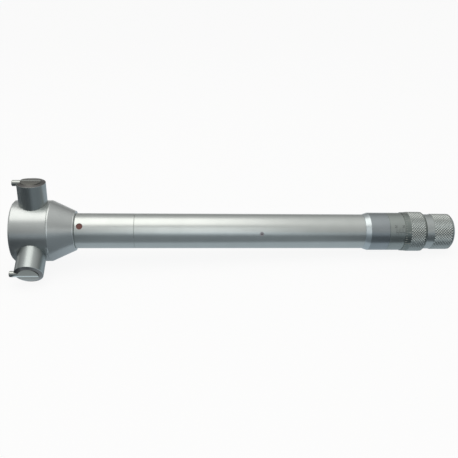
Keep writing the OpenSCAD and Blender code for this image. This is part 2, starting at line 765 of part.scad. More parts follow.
head_body();
front_cover();
head_screws();
anvil_keys();
ring_spring();
taper_collar();
neck_tube();
neck_lock_screw();
lacquer_seal();
front_bush();
rod_spring();
coupling_sleeve();
coupling_lock_screw();
extension_tube();
centre_bush();
bush_set_screw();
micrometer_body();
scale_sleeve();
spindle_nut();
expander_cone();
push_rod();
spring_collar();
front_ball();
extension_rod();
rear_ball();
thimble();
spindle();
ratchet_wheel();
ratchet_screw();
ratchet_barrel();
ratchet_driver();
ratchet_spring();
anvil(0);  // anvil_1
anvil(1);  // anvil_2
anvil(2);  // anvil_3
anvil_pin(0);  // anvil_pin_1
anvil_pin(1);  // anvil_pin_2
anvil_pin(2);  // anvil_pin_3
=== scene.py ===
"""Looks of a three-point inside micrometer with an extension tube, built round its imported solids."""

import logging
import math
from dataclasses import dataclass, field
from enum import Enum

import bmesh
import bpy
from mathutils import Matrix, Vector


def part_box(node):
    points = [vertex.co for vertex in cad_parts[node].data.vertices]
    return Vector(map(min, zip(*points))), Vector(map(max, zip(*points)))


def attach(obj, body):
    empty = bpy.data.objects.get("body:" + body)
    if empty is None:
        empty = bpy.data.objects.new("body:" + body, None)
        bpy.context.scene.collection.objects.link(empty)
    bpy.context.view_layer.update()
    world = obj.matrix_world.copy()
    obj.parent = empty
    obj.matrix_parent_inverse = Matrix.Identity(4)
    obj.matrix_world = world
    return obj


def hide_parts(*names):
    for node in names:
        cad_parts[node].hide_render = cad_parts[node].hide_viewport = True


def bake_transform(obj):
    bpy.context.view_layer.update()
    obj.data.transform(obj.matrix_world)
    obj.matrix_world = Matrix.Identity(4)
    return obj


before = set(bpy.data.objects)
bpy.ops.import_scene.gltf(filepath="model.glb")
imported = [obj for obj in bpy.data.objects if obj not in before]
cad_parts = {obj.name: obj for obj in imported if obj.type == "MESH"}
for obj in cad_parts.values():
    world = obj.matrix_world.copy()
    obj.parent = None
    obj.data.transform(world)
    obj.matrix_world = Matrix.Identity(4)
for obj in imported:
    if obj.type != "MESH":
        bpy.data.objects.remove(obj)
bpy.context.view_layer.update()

MM = 0.001
KNURL_DEPTH_MM = 0.35
LOG = logging.getLogger("inside_micrometer")


def linear_colour(code: str) -> tuple[float, float, float, float]:
    """Turns an sRGB hex colour into linear RGBA.

    Args:
        code: Colour such as "#9ea3a6".

    Returns:
        Red, green, blue and alpha for a colour socket.
    """
    parts = [int(code[i : i + 2], 16) / 255 for i in (1, 3, 5)]
    linear = [c / 12.92 if c <= 0.04045 else ((c + 0.055) / 1.055) ** 2.4 for c in parts]
    return (*linear, 1.0)


def add_node(tree: bpy.types.NodeTree, kind: str, inputs: dict, **settings) -> bpy.types.Node:
    """Adds a node with its settings, values and links.

    Args:
        tree: Node tree that gets the node.
        kind: Blender's type name of the node.
        inputs: Values or output sockets for the node's inputs, by name or index.
        **settings: Properties of the node.

    Returns:
        The new node.
    """
    made = tree.nodes.new(kind)
    for name, value in settings.items():
        setattr(made, name, value)
    for socket, value in inputs.items():
        if isinstance(value, bpy.types.NodeSocket):
            tree.links.new(value, made.inputs[socket])
        else:
            made.inputs[socket].default_value = value
    return made


def per_metre(spacing_mm: float) -> float:
    """Gives the texture scale at which a pattern repeats at a spacing in millimetres."""
    return 1 / (spacing_mm * MM)


class Lay(Enum):
    """Direction of the marks that a tool left on a surface."""

    TURNED = "rings round the instrument's axis"
    CYLINDRICAL = "rings round the piece's own axis"
    LAPPED = "no direction"


@dataclass(frozen=True)
class MetalFinish:
    """A machined metal surface with the marks of its making.

    Attributes:
        name: Name of the material.
        colour: Colour of the clean metal.
        stain: Colour that it has dulled to in slow clouds.
        roughness: Mean roughness of the surface.
        spread: How far the roughness strays either way.
        mark_mm: Distance between tool marks.
        mark_depth_mm: Depth of the marks.
        lay: Direction of the marks.
    """

    name: str
    colour: str
    stain: str
    roughness: float
    spread: float
    mark_mm: float
    mark_depth_mm: float
    lay: Lay

    CLOUD_MM = 9.0
    CLOUD_DETAIL = 4.0
    STRETCH = 30.0
    MARK_DETAIL = 3.0
    MARK_LOW = 0.25
    MARK_HIGH = 0.75
    RELIEF = 0.5

    def mark_scale(self) -> tuple[float, float, float]:
        """Gives the scales of the mark pattern along X, Y and Z."""
        fine = per_metre(self.mark_mm)
        coarse = fine / self.STRETCH
        return {
            Lay.TURNED: (fine, coarse, coarse),
            Lay.CYLINDRICAL: (coarse, coarse, fine),
            Lay.LAPPED: (fine, fine, fine),
        }[self.lay]

    def add_colour(self, tree: bpy.types.NodeTree, where: bpy.types.NodeSocket) -> bpy.types.NodeSocket:
        """Adds the nodes for the metal's colour.

        Args:
            tree: Node tree of the material.
            where: Object coordinates.

        Returns:
            Socket that gives the colour.
        """
        clouds = add_node(
            tree,
            "ShaderNodeTexNoise",
            {"Vector": where, "Scale": per_metre(self.CLOUD_MM), "Detail": self.CLOUD_DETAIL},
        )
        dulled = add_node(
            tree,
            "ShaderNodeMix",
            {
                "Factor": clouds.outputs["Fac"],
                "A": linear_colour(self.colour),
                "B": linear_colour(self.stain),
            },
            data_type="RGBA",
        )
        return dulled.outputs["Result"]

    def build(self, turn: float = 0.0) -> bpy.types.Material:
        """Makes the material.

        Args:
            turn: Angle about X, in radians, that brings the piece's own axis to +Z.

        Returns:
            The finished material.
        """
        material = bpy.data.materials.new(self.name)
        material.use_nodes = True
        tree = material.node_tree
        shader = tree.nodes["Principled BSDF"]
        shader.inputs["Metallic"].default_value = 1.0
        where = add_node(tree, "ShaderNodeTexCoord", {}).outputs["Object"]
        along = add_node(
            tree,
            "ShaderNodeMapping",
            {"Vector": where, "Rotation": (turn, 0.0, 0.0), "Scale": self.mark_scale()},
        ).outputs["Vector"]
        marks = add_node(
            tree, "ShaderNodeTexNoise", {"Vector": along, "Scale": 1.0, "Detail": self.MARK_DETAIL}
        ).outputs["Fac"]
        tree.links.new(self.add_colour(tree, where), shader.inputs["Base Color"])
        rough = add_node(
            tree,
            "ShaderNodeMapRange",
            {
                "Value": marks,
                "From Min": self.MARK_LOW,
                "From Max": self.MARK_HIGH,
                "To Min": self.roughness - self.spread,
                "To Max": self.roughness + self.spread,
            },
        )
        tree.links.new(rough.outputs["Result"], shader.inputs["Roughness"])
        relief = add_node(
            tree,
            "ShaderNodeBump",
            {"Height": marks, "Strength": self.RELIEF, "Distance": self.mark_depth_mm * MM},
        )
        tree.links.new(relief.outputs["Normal"], shader.inputs["Normal"])
        return material


@dataclass(frozen=True)
class FrontedFinish(MetalFinish):
    """A machined metal piece whose front has a colour of its own.

    Attributes:
        front_colour: Colour of the front.
        front_end: Place along the axis where the front ends, in metres.
    """

    front_colour: str
    front_end: float

    BLUR_MM = 0.1

    def add_rear_colour(self, tree: bpy.types.NodeTree, where: bpy.types.NodeSocket) -> bpy.types.NodeSocket:
        """Adds the nodes for the colour behind the front, as add_colour does for the whole."""
        return super().add_colour(tree, where)

    def add_colour(self, tree: bpy.types.NodeTree, where: bpy.types.NodeSocket) -> bpy.types.NodeSocket:
        """Adds the nodes for the metal's colour, with the front's.

        Args:
            tree: Node tree of the material.
            where: Object coordinates.

        Returns:
            Socket that gives the colour.
        """
        split = add_node(tree, "ShaderNodeSeparateXYZ", {"Vector": where})
        behind = add_node(
            tree,
            "ShaderNodeMapRange",
            {
                "Value": split.outputs["X"],
                "From Min": self.front_end - self.BLUR_MM * MM,
                "From Max": self.front_end,
            },
        )
        whole = add_node(
            tree,
            "ShaderNodeMix",
            {
                "Factor": behind.outputs["Result"],
                "A": linear_colour(self.front_colour),
                "B": self.add_rear_colour(tree, where),
            },
            data_type="RGBA",
        )
        return whole.outputs["Result"]


@dataclass(frozen=True)
class KnurledFinish(FrontedFinish):
    """A knurled metal grip, with painted shade in its grooves.

    Attributes:
        groove_colour: Colour of the painted shade at the bottom of the grooves.
        groove_mm: Radius at the bottom of the grooves.
        crest_mm: Radius at the tips of the diamonds.
    """

    groove_colour: str
    groove_mm: float
    crest_mm: float

    def add_rear_colour(self, tree: bpy.types.NodeTree, where: bpy.types.NodeSocket) -> bpy.types.NodeSocket:
        """Adds the nodes for the colour of the diamonds and of the painted shade in the grooves.

        Args:
            tree: Node tree of the material.
            where: Object coordinates.

        Returns:
            Socket that gives the colour.
        """
        plain = super().add_rear_colour(tree, where)
        centred = add_node(tree, "ShaderNodeMapping", {"Vector": where, "Location": -axis_point()})
        across = add_node(
            tree,
            "ShaderNodeVectorMath",
            {0: centred.outputs["Vector"], 1: (0.0, 1.0, 1.0)},
            operation="MULTIPLY",
        )
        radius = add_node(tree, "ShaderNodeVectorMath", {0: across.outputs["Vector"]}, operation="LENGTH")
        height = add_node(
            tree,
            "ShaderNodeMapRange",
            {
                "Value": radius.outputs["Value"],
                "From Min": self.groove_mm * MM,
                "From Max": self.crest_mm * MM,
            },
        )
        # Painted shade: the colour darkens towards the bottom of the grooves
        groove_shaded = add_node(
            tree,
            "ShaderNodeMix",
            {"Factor": height.outputs["Result"], "A": linear_colour(self.groove_colour), "B": plain},
            data_type="RGBA",
        )
        return groove_shaded.outputs["Result"]


@dataclass(frozen=True)
class AnvilFinish(MetalFinish):
    """Ground steel of an anvil, whose end is coloured darker as a painted dark reflection on its crown and
    chamfer.

    Attributes:
        crown_colour: Colour of the crown, which was ground with its pin, darkened as a painted dark
            reflection.
        chamfer_colour: Colour of the chamfer round it, a painted dark reflection.
        angle: Direction of the anvil about the instrument's axis, in degrees.
        place: Place of the anvil along the axis, in metres.
        end_start_mm: Distance from the instrument's axis at which the end begins.
        crown_mm: Radius of the crown.
    """

    crown_colour: str
    chamfer_colour: str
    angle: float
    place: float
    end_start_mm: float
    crown_mm: float

    BLUR_MM = 0.1

    def add_colour(self, tree: bpy.types.NodeTree, where: bpy.types.NodeSocket) -> bpy.types.NodeSocket:
        """Adds the nodes for the colours of the flank and of the painted dark reflections on the crown and
        the chamfer.

        Args:
            tree: Node tree of the material.
            where: Object coordinates.

        Returns:
            Socket that gives the colour.
        """
        flank = super().add_colour(tree, where)
        root = axis_point() + Vector((self.place, 0.0, 0.0))
        centred = add_node(tree, "ShaderNodeMapping", {"Vector": where, "Location": -root}).outputs["Vector"]
        outwards = (0.0, math.cos(math.radians(self.angle)), math.sin(math.radians(self.angle)))
        reach = add_node(tree, "ShaderNodeVectorMath", {0: centred, 1: outwards}, operation="DOT_PRODUCT")
        along = add_node(tree, "ShaderNodeVectorMath", {0: centred, 1: outwards}, operation="PROJECT")
        aside = add_node(
            tree, "ShaderNodeVectorMath", {0: centred, 1: along.outputs["Vector"]}, operation="SUBTRACT"
        )
        radius = add_node(tree, "ShaderNodeVectorMath", {0: aside.outputs["Vector"]}, operation="LENGTH")
        past_crown = add_node(
            tree,
            "ShaderNodeMapRange",
            {
                "Value": radius.outputs["Value"],
                "From Min": self.crown_mm * MM,
                "From Max": (self.crown_mm + self.BLUR_MM) * MM,
            },
        )
        # Painted dark reflection: the crown and the chamfer take darker colours than the flank
        end = add_node(
            tree,
            "ShaderNodeMix",
            {
                "Factor": past_crown.outputs["Result"],
                "A": linear_colour(self.crown_colour),
                "B": linear_colour(self.chamfer_colour),
            },
            data_type="RGBA",
        )
        past_flank = add_node(
            tree,
            "ShaderNodeMapRange",
            {
                "Value": reach.outputs["Value"],
                "From Min": self.end_start_mm * MM,
                "From Max": (self.end_start_mm + self.BLUR_MM) * MM,
            },
        )
        whole = add_node(
            tree,
            "ShaderNodeMix",
            {"Factor": past_flank.outputs["Result"], "A": flank, "B": end.outputs["Result"]},
            data_type="RGBA",
        )
        return whole.outputs["Result"]


@dataclass(frozen=True)
class PaintFinish:
    """Paint or lacquer laid thickly in a recess, with a faint orange-peel surface.

    Attributes:
        name: Name of the material.
        colour: Colour of the paint.
        shade: Colour where it lies thickest.
        roughness: Roughness of the dry surface.
        grain_mm: Size of the surface's ripples.
    """

    name: str
    colour: str
    shade: str
    roughness: float
    grain_mm: float

    RIPPLE_MM = 0.02
    RIPPLE_DETAIL = 3.0
    RELIEF = 0.4

    def build(self) -> bpy.types.Material:
        """Makes the material."""
        material = bpy.data.materials.new(self.name)
        material.use_nodes = True
        tree = material.node_tree
        shader = tree.nodes["Principled BSDF"]
        shader.inputs["Roughness"].default_value = self.roughness
        where = add_node(tree, "ShaderNodeTexCoord", {}).outputs["Object"]
        ripple = add_node(
            tree,
            "ShaderNodeTexNoise",
            {"Vector": where, "Scale": per_metre(self.grain_mm), "Detail": self.RIPPLE_DETAIL},
        ).outputs["Fac"]
        tone = add_node(
            tree,
            "ShaderNodeMix",
            {"Factor": ripple, "A": linear_colour(self.colour), "B": linear_colour(self.shade)},
            data_type="RGBA",
        )
        tree.links.new(tone.outputs["Result"], shader.inputs["Base Color"])
        relief = add_node(
            tree,
            "ShaderNodeBump",
            {"Height": ripple, "Strength": self.RELIEF, "Distance": self.RIPPLE_MM * MM},
        )
        tree.links.new(relief.outputs["Normal"], shader.inputs["Normal"])
        return material


# Satin chrome plate over turned steel: a soft broad highlight, with rings drawn coarser than real ones
SATIN_CHROME = MetalFinish("satin_chrome_plate", "#cbcfcc", "#bfc4c0", 0.31, 0.01, 0.35, 0.0002, Lay.TURNED)
# Bright chrome on the head and the collar, polished further than the tubes
BRIGHT_CHROME = MetalFinish("bright_chrome_plate", "#c5c9c7", "#babfbd", 0.3, 0.01, 0.4, 0.0002, Lay.TURNED)
# Pearl chrome on the scale sleeve: blasted before plating, so that the graduations don't glare
PEARL_CHROME = MetalFinish("pearl_chrome_plate", "#a9b0ac", "#9da4a0", 0.33, 0.01, 0.3, 0.0002, Lay.LAPPED)
# Sintered hard metal lapped to size: close to a mirror, with no direction
HARD_METAL = MetalFinish("lapped_hard_metal", "#b9bdb9", "#a7aba6", 0.2, 0.02, 0.2, 0.0002, Lay.LAPPED)
# Ground steel of the rods, the cone and the spindle
GROUND_STEEL = MetalFinish("ground_steel", "#a8acad", "#959a9b", 0.28, 0.04, 0.3, 0.001, Lay.TURNED)
# Screws blackened in hot oxide salts: nearly black with a dull gleam
BLACK_OXIDE = MetalFinish("black_oxide_steel", "#3a3d3f", "#2b2d2e", 0.42, 0.08, 0.25, 0.002, Lay.LAPPED)
# A set screw that has browned a little with age: a dull warm grey steel
BROWNED_STEEL = MetalFinish("browned_steel", "#bdb8ba", "#a39d9f", 0.42, 0.06, 0.3, 0.002, Lay.LAPPED)
# Oil-hardened spring wire
SPRING_WIRE = MetalFinish("oil_hardened_wire", "#6f7375", "#55595a", 0.34, 0.06, 0.2, 0.002, Lay.LAPPED)
# Sintered bearing bronze, warm and slightly porous
BEARING_BRONZE = MetalFinish("bearing_bronze", "#b58f52", "#9a7640", 0.38, 0.06, 0.3, 0.004, Lay.TURNED)
# Sealing lacquer, a red-brown drop dried over the screw
SEALING_LACQUER = PaintFinish("sealing_lacquer", "#7d4a41", "#5a352f", 0.38, 0.5)
# Matt black filler wiped into the engraved graduations
ENGRAVING_FILL = PaintFinish("engraving_fill", "#191b1c", "#26292a", 0.55, 0.2)
# Pale filler in the graduations of the dark bevel
PALE_FILL = PaintFinish("pale_engraving_fill", "#a9aca6", "#8f938d", 0.55, 0.2)


def dress(names: list[str], material: bpy.types.Material) -> None:
    """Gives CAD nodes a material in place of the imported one.

    Args:
        names: Names of the nodes.
        material: Material that they get.
    """
    for name in names:
        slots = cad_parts[name].data.materials
        slots.clear()
        slots.append(material)
        LOG.info("dressed %s in %s", name, material.name)


def axis_point() -> Vector:
    """Gives a point of the instrument's axis, over the origin."""
    low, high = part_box("extension_tube")
    return Vector((0.0, (low.y + high.y) / 2, (low.z + high.z) / 2))


def outer_radius(name: str) -> float:
    """Gives the outer radius of a node that is turned about the instrument's axis."""
    low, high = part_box(name)
    return (high.z - low.z) / 2


def dull_chrome(front_end: float) -> FrontedFinish:
    """Gives the finish of the micrometer's body: dull chrome behind a polished flare.

    Args:
        front_end: Place along the axis where the flare ends, in metres.

    Returns:
        The finish.
    """
    return FrontedFinish(
        name="dull_chrome_plate",
        colour="#a8afb1",
        stain="#9aa1a3",
        roughness=0.3,
        spread=0.01,
        mark_mm=0.35,
        mark_depth_mm=0.0002,
        lay=Lay.TURNED,
        front_colour="#c1c9ca",
        front_end=front_end,
    )


def knurled_chrome(name: str, front_end: float, front_colour: str, groove_colour: str) -> KnurledFinish:
    """Gives the finish of a knurled grip: satin chrome with painted shade in the grooves.

    Args:
        name: Node of the grip.
        front_end: Place along the axis where its knurl begins, in metres.
        front_colour: Colour of what lies in front of the knurl.
        groove_colour: Colour of the painted shade in the grooves.

    Returns:
        The finish, with its radii taken from the node.
    """
    crest = outer_radius(name) / MM
    return KnurledFinish(
        name=f"knurled_chrome_{name}",
        colour="#c6cbc8",
        stain="#babfbc",
        roughness=0.33,
        spread=0.02,
        mark_mm=0.4,
        mark_depth_mm=0.0003,
        lay=Lay.TURNED,
        front_colour=front_colour,
        front_end=front_end,
        groove_colour=groove_colour,
        groove_mm=crest - KNURL_DEPTH_MM,
        crest_mm=crest,
    )


def around_axis(angle: float, x: float, radius: float) -> Matrix:
    """Gives the place of something built at the origin with +Z outwards and +X along the axis.

    Args:
        angle: Angle about the axis in degrees, from +Y towards +Z.
        x: Place along the axis, in metres.
        radius: Distance from the axis, in metres.

    Returns:
        Matrix that takes it there.
    """
    turned = Matrix.Rotation(math.radians(angle - 90), 4, "X")
    return Matrix.Translation(axis_point() + Vector((x, 0, 0))) @ turned @ Matrix.Translation((0, 0, radius))


def made_piece(name: str, bm: bmesh.types.BMesh, material: bpy.types.Material) -> bpy.types.Object:
    """Turns a bmesh into a piece.

    Args:
        name: Name of the piece.
        bm: Its mesh, in place. It is freed.
        material: Material of the piece.

    Returns:
        The object, which rides on nothing yet.
    """
    bmesh.ops.recalc_face_normals(bm, faces=bm.faces[:])
    mesh = bpy.data.meshes.new(name)
    bm.to_mesh(mesh)
    bm.free()
    mesh.materials.append(material)
    piece = bpy.data.objects.new(name, mesh)
    bpy.context.scene.collection.objects.link(piece)
    LOG.info("built %s", name)
    return piece


@dataclass
class WoundSpring:
    """Round wire bent about the instrument's axis, as a ring's span or as a coil.

    Attributes:
        wire: Diameter of the wire, in metres.
        radius: Radius of the wire's middle line, in metres.
        wire_sides: Sides of the wire's section.
        turn_steps: Steps in one turn.
    """

    wire: float
    radius: float
    wire_sides: int = 10
    turn_steps: int = 90

    def wind(self, angle: float, x: float, sweep: float, rise: float) -> bmesh.types.BMesh:
        """Winds the wire.

        Args:
            angle: Angle at which it starts, in degrees.
            x: Place along the axis at which it starts, in metres.
            sweep: Angle that it covers, in degrees.
            rise: How far it runs along the axis, in metres.

        Returns:
            The wire's mesh.
        """
        bm = bmesh.new()
        made = bmesh.ops.create_circle(
            bm, cap_ends=True, segments=self.wire_sides, radius=self.wire / 2
        )["verts"]
        upright = Matrix.Rotation(math.radians(90), 4, "X")
        bmesh.ops.transform(bm, matrix=around_axis(angle, x, self.radius) @ upright, verts=made)
        face = made[0].link_faces[0]
        steps = round(self.turn_steps * sweep / 360)
        bmesh.ops.spin(
            bm,
            geom=[face, *face.edges, *face.verts],
            cent=axis_point(),
            axis=(1, 0, 0),
            dvec=(rise / steps, 0, 0),
            angle=math.radians(sweep),
            steps=steps,
        )
        # The wire's sides are quads, and its two flat ends aren't
        for side in bm.faces:
            side.smooth = len(side.verts) == 4
        return bm


@dataclass
class Engraving:
    """Lines and figures cut into a round surface and filled with paint.

    Attributes:
        proud_mm: How far the filler stands over the surface.
        sunk_mm: How far it reaches under the surface.
        arc_steps: Steps in a line that runs round the surface.
        font_share: Size of the font over the height of its digits.
        curve_steps: Steps in a curve of a digit.
    """

    proud_mm: float = 0.02
    sunk_mm: float = 0.05
    arc_steps: int = 8
    font_share: float = 1.4
    curve_steps: int = 3

    def depth(self) -> float:
        """Gives the whole thickness of the filler, in metres."""
        return (self.proud_mm + self.sunk_mm) * MM

    def middle(self) -> float:
        """Gives the place of the filler's mid depth from the surface, in metres."""
        return (self.proud_mm - self.sunk_mm) / 2 * MM

    def line_along(
        self, bm: bmesh.types.BMesh, place: Matrix, slope: float, length: float, width: float
    ) -> None:
        """Adds a straight line along the axis.

        Args:
            bm: Mesh that gets the line.
            place: Place of the line's middle, with +Z outwards.
            slope: Rise of the surface along the line, as an angle in radians.
            length: Length of the line, in metres.
            width: Width of the line, in metres.
        """
        made = bmesh.ops.create_cube(bm, size=1.0)["verts"]
        shape = Matrix.Diagonal((length, width, self.depth(), 1.0))
        tilt = Matrix.Rotation(-slope, 4, "Y")
        move = Matrix.Translation((0, 0, self.middle()))
        bmesh.ops.transform(bm, matrix=place @ tilt @ move @ shape, verts=made)

    def line_round(
        self, bm: bmesh.types.BMesh, angle: float, x: float, radius: float, arc: float, width: float
    ) -> None:
        """Adds a line that runs round the surface.

        Args:
            bm: Mesh that gets the line.
            angle: Angle at which the line starts, in degrees.
            x: Place along the axis, in metres.
            radius: Radius of the surface, in metres.
            arc: Angle that the line covers, in degrees.
            width: Width of the line, in metres.
        """
        made = bmesh.ops.create_grid(bm, x_segments=1, y_segments=1, size=0.5)["verts"]
        upright = Matrix.Rotation(math.radians(90), 4, "X")
        shape = Matrix.Diagonal((width, self.depth(), 1.0, 1.0))
        bmesh.ops.transform(
            bm, matrix=around_axis(angle, x, radius + self.middle()) @ upright @ shape, verts=made
        )
        face = made[0].link_faces[0]
        bmesh.ops.spin(
            bm,
            geom=[face, *face.edges, *face.verts],
            cent=axis_point(),
            axis=(1, 0, 0),
            angle=math.radians(arc),
            steps=self.arc_steps,
        )

    def figure(
        self, bm: bmesh.types.BMesh, text: str, place: Matrix, height: float, radius: float
    ) -> None:
        """Adds a plain number, bent to the surface.

        Args:
            bm: Mesh that gets the number.
            text: The number's digits, which read round the surface.
            place: Place of its middle, with +Z outwards and +X along the axis.
            height: Height of the digits, in metres.
            radius: Radius of the surface, in metres.
        """
        curve = bpy.data.curves.new("figure", "FONT")
        curve.body = text
        curve.size = height * self.font_share
        curve.extrude = self.depth() / 2
        curve.align_x = "CENTER"
        curve.align_y = "CENTER"
        curve.resolution_u = self.curve_steps
        written = bpy.data.objects.new("figure", curve)
        mesh = bpy.data.meshes.new_from_object(written)
        turned = Matrix.Rotation(math.radians(-90), 4, "Z")
        mesh.transform(Matrix.Translation((0, 0, self.middle())) @ turned)
        for vertex in mesh.vertices:
            vertex.co.z += math.sqrt(radius**2 - vertex.co.y**2) - radius
        mesh.transform(place)
        bm.from_mesh(mesh)
        bpy.data.meshes.remove(mesh)
        bpy.data.objects.remove(written)
        bpy.data.curves.remove(curve)


@dataclass
class MeasuringHead:
    """Head with three anvils, the cone that spreads them and the collar behind it.

    Attributes:
        anvil_angles: Directions of the anvils about the axis, in degrees.
        end_depth_mm: Depth of an anvil's chamfered end.
        crown_mm: Radius of the crown within the chamfer.
        free_share: Share of the ring spring's radius, towards an anvil, at which its span starts to follow.
            Not used.
        held_share: Share at which the span lies in the anvil's groove. Not used.
        shells: Nodes of the head's outside.
    """

    anvil_angles: tuple[float, ...] = (90.0, 210.0, 330.0)
    end_depth_mm: float = 1.6
    crown_mm: float = 6.4
    free_share: float = 0.54
    held_share: float = 0.72
    shells: list[str] = field(default_factory=lambda: ["head_body", "front_cover", "taper_collar"])

    def dress(self) -> None:
        """Dresses the shells, the anvils with their pins, and the inner pieces."""
        dress(self.shells, BRIGHT_CHROME.build())
        pins = HARD_METAL.build()
        for number, angle in enumerate(self.anvil_angles, start=1):
            dress([f"anvil_{number}"], self.ground_anvil(number, angle).build(math.radians(90 - angle)))
            dress([f"anvil_pin_{number}"], pins)
        dress(["expander_cone", "anvil_keys"], GROUND_STEEL.build())
        dress(["head_screws"], BLACK_OXIDE.build())

    def ground_anvil(self, number: int, angle: float) -> AnvilFinish:
        """Gives the finish of one anvil: hardened tool steel ground round the anvil's own axis.

        Args:
            number: Number of the anvil.
            angle: Direction of the anvil about the axis, in degrees.

        Returns:
            The finish.
        """
        low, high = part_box(f"anvil_{number}")
        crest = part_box("anvil_1")[1].z - axis_point().z
        return AnvilFinish(
            name=f"ground_tool_steel_{number}",
            colour="#b2b8b6",
            stain="#a7aeac",
            roughness=0.32,
            spread=0.01,
            mark_mm=0.3,
            mark_depth_mm=0.0002,
            lay=Lay.CYLINDRICAL,
            # Painted dark reflections on the crown and the chamfer
            crown_colour="#7d7d77",
            chamfer_colour="#6b6a68",
            angle=angle,
            place=(low.x + high.x) / 2,
            end_start_mm=crest / MM - self.end_depth_mm,
            crown_mm=self.crown_mm,
        )

    def build(self) -> None:
        """Winds the ring spring as three spans, each centred on the anvil that it draws in."""
        low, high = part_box("ring_spring")
        wire = high.x - low.x
        radius = (high.z - low.z - wire) / 2
        metal = SPRING_WIRE.build()
        sweep = 360 / len(self.anvil_angles)
        for number, angle in enumerate(self.anvil_angles, start=1):
            wound = WoundSpring(wire, radius).wind(angle - sweep / 2, (low.x + high.x) / 2, sweep, 0.0)
            span = made_piece(f"ring_spring_span_{number}", wound, metal)
            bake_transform(span)
            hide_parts("ring_spring")


@dataclass
class TubeSet:
    """Neck and extension tubes with the rods, bushes and screws that they hold.

    Attributes:
        tubes: Nodes of the tubes.
        rods: Nodes of the rods.
        screws: Nodes of the blackened screws.
        spring_wire_mm: Diameter of the return spring's wire.
        spring_turns: Turns of the return spring.
    """

    tubes: list[str] = field(default_factory=lambda: ["neck_tube", "extension_tube", "coupling_sleeve"])
    rods: list[str] = field(default_factory=lambda: ["push_rod", "extension_rod", "spring_collar"])
    screws: list[str] = field(default_factory=lambda: ["neck_lock_screw", "coupling_lock_screw"])
    spring_wire_mm: float = 1.2
    spring_turns: int = 5

    def dress(self) -> None:
        """Dresses the tubes and what is in them."""
        dress(self.tubes, SATIN_CHROME.build())
        dress(self.rods, GROUND_STEEL.build())
        dress(["front_ball", "rear_ball"], HARD_METAL.build())
        dress(["front_bush", "centre_bush"], BEARING_BRONZE.build())
        dress(self.screws, BLACK_OXIDE.build())
        dress(["bush_set_screw"], BROWNED_STEEL.build())
        dress(["lacquer_seal"], SEALING_LACQUER.build())

    def build(self) -> None:
        """Winds the return spring, which is pressed between the bush and the rod's collar."""
        low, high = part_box("rod_spring")
        wire = self.spring_wire_mm * MM
        coil = WoundSpring(wire, (high.z - low.z - wire) / 2)
        wound = coil.wind(0.0, low.x + wire / 2, 360 * self.spring_turns, high.x - low.x - wire)
        spring = made_piece("rod_return_spring", wound, SPRING_WIRE.build())
        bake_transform(spring)
        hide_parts("rod_spring")


@dataclass
class ScaleSleeve:
    """Micrometer body with its graduated scale sleeve.

    Attributes:
        reading_mm: Bore diameter at the thimble's edge.
        first_mm: Smallest diameter on the scale.
        last_mm: Largest diameter on the scale.
        step_mm: Diameter between two graduations.
        datum_angle: Place of the datum line round the sleeve, in degrees.
        line_mm: Width of a line.
        short_arc: Angle that a half-millimetre line covers, in degrees.
        long_arc: Angle that a whole-millimetre line covers, in degrees.
        figure_mm: Height of the figures.
        figure_every_mm: Diameter between two figures.
        figure_arcs: Distance of the figures from the datum line, in arcs of a whole-millimetre line.
        flare_mm: Length of the body's polished flare.
        engraving: How the marks are cut.
    """

    reading_mm: float = 68.5
    first_mm: float = 62.0
    last_mm: float = 75.0
    step_mm: float = 0.5
    datum_angle: float = 158.0
    line_mm: float = 0.13
    short_arc: float = 7.0
    long_arc: float = 11.0
    figure_mm: float = 1.5
    figure_every_mm: float = 5.0
    figure_arcs: float = 1.6
    flare_mm: float = 3.5
    engraving: Engraving = field(default_factory=Engraving)

    def station(self, diameter: float) -> float:
        """Gives the place along the axis where the thimble's edge shows a diameter."""
        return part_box("thimble")[0].x + (self.reading_mm - diameter) * MM

    def dress(self) -> None:
        """Dresses the sleeves and the nut."""
        flare_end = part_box("extension_tube")[1].x + self.flare_mm * MM
        dress(["micrometer_body"], dull_chrome(flare_end).build())
        dress(["scale_sleeve"], PEARL_CHROME.build())
        dress(["spindle_nut"], BEARING_BRONZE.build())

    def build(self) -> None:
        """Cuts the datum line, the graduations and the figures."""
        radius = outer_radius("scale_sleeve")
        width = self.line_mm * MM
        lines = bmesh.new()
        start, end = self.station(self.last_mm), self.station(self.first_mm)
        middle = around_axis(self.datum_angle, (start + end) / 2, radius)
        self.engraving.line_along(lines, middle, 0.0, end - start, width)
        for k in range(round((self.last_mm - self.first_mm) / self.step_mm) + 1):
            diameter = self.first_mm + k * self.step_mm
            whole = k % round(1 / self.step_mm) == 0
            arc = self.long_arc if whole else self.short_arc
            angle = self.datum_angle - arc if whole else self.datum_angle
            self.engraving.line_round(lines, angle, self.station(diameter), radius, arc, width)
        fill = ENGRAVING_FILL.build()
        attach(made_piece("scale_graduations", lines, fill), "frame")
        figures = bmesh.new()
        for diameter in range(math.ceil(self.first_mm), math.floor(self.last_mm) + 1):
            if diameter % self.figure_every_mm == 0:
                angle = self.datum_angle - self.long_arc * self.figure_arcs
                place = around_axis(angle, self.station(diameter), radius)
                self.engraving.figure(figures, str(diameter), place, self.figure_mm * MM, radius)
        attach(made_piece("scale_figures", figures, fill), "frame")


